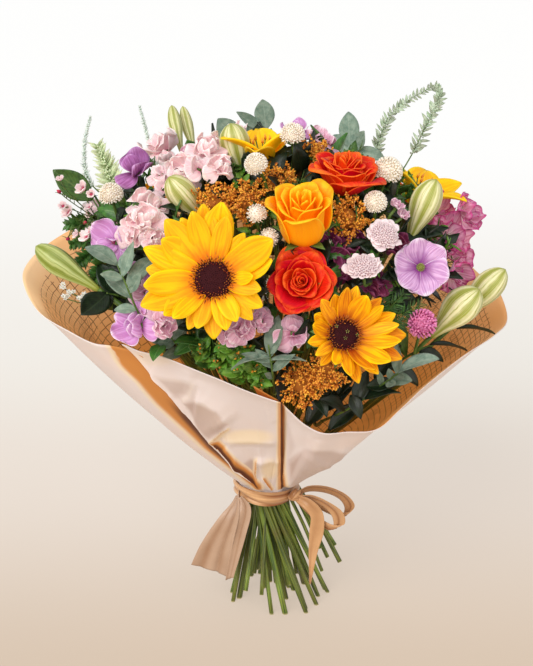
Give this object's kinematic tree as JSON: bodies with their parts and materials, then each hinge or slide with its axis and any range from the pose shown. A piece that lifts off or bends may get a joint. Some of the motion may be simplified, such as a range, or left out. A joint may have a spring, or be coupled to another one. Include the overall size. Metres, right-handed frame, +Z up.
{
  "type": "mixed flower bouquet",
  "caption": "Spiral hand-tied bouquet of mixed garden flowers and foliage in an open paper cone with a ribbon bow, standing on its cut stems.",
  "frame": {"origin": "on the floor, below the middle of the whole bouquet's box; the outer stem ends touch the floor", "axes": "+Z up along the bunch, the front of the bouquet with the opening fold of the paper faces -Y, +X to the viewer's right"},
  "size_m": [0.4744, 0.4278, 0.5271],
  "materials": {
    "stem": "satin",
    "sunflower": "satin",
    "disc": "matte",
    "amber": "satin",
    "scarlet": "satin",
    "red": "satin",
    "mauve": "satin",
    "lilac": "matte",
    "cream": "matte",
    "globe": "matte",
    "bud": "satin",
    "pink": "satin",
    "plum": "satin",
    "yellow": "satin",
    "rust": "matte",
    "eucalyptus": "matte",
    "leaf": "satin",
    "dark_leaf": "satin",
    "plume": "matte",
    "silver": "matte",
    "paper": "matte",
    "ribbon": "satin"
  },
  "bodies": {
    "root": {"stems": "stem", "sunflower_left_petals": "sunflower", "sunflower_left_disc": "disc", "sunflower_right_petals": "sunflower", "sunflower_right_disc": "disc", "rose_amber": "amber", "rose_scarlet": "scarlet", "rose_red": "red", "rose_back_left": "amber", "rose_back_right": "scarlet", "mallow": "mauve", "scabious": "lilac", "buttons_right": "cream", "buttons_middle": "cream", "button_left": "cream", "globe_pink": "globe", "lily_bud_left": "bud", "lily_buds_top": "bud", "lily_buds_middle": "bud", "lily_bud_right": "bud", "lily_buds_corner": "bud", "stock_pale": "pink", "sweet_peas_left": "pink", "sweet_peas_mauve": "mauve", "stock_centre": "pink", "stock_back": "pink", "lisianthus_left": "mauve", "lisianthus_top": "mauve", "lisianthus_plum": "plum", "gladiolus_right": "mauve", "lily_yellow_top": "yellow", "lily_yellow_right": "yellow", "rust_left": "rust", "rust_top": "rust", "rust_right": "rust", "rust_low": "rust", "waxflower_left": "pink", "eucalyptus_left": "eucalyptus", "eucalyptus_low": "eucalyptus", "eucalyptus_centre": "eucalyptus", "eucalyptus_top": "eucalyptus", "eucalyptus_top_right": "eucalyptus", "eucalyptus_right": "eucalyptus", "leaf_left": "leaf", "leaf_front": "leaf", "sprig_front": "leaf", "dark_leaves_front": "dark_leaf", "dark_leaves_right": "dark_leaf", "dark_leaves_left": "dark_leaf", "leaves_back": "leaf", "plume_right": "plume", "plume_pale": "plume", "spikes_silver": "silver", "fern_right": "leaf", "wrapper_back": "paper", "wrapper_front": "paper", "ribbon_band": "ribbon", "ribbon_bow": "ribbon", "ribbon_tail_wide": "ribbon"}
  },
  "joints": []
}
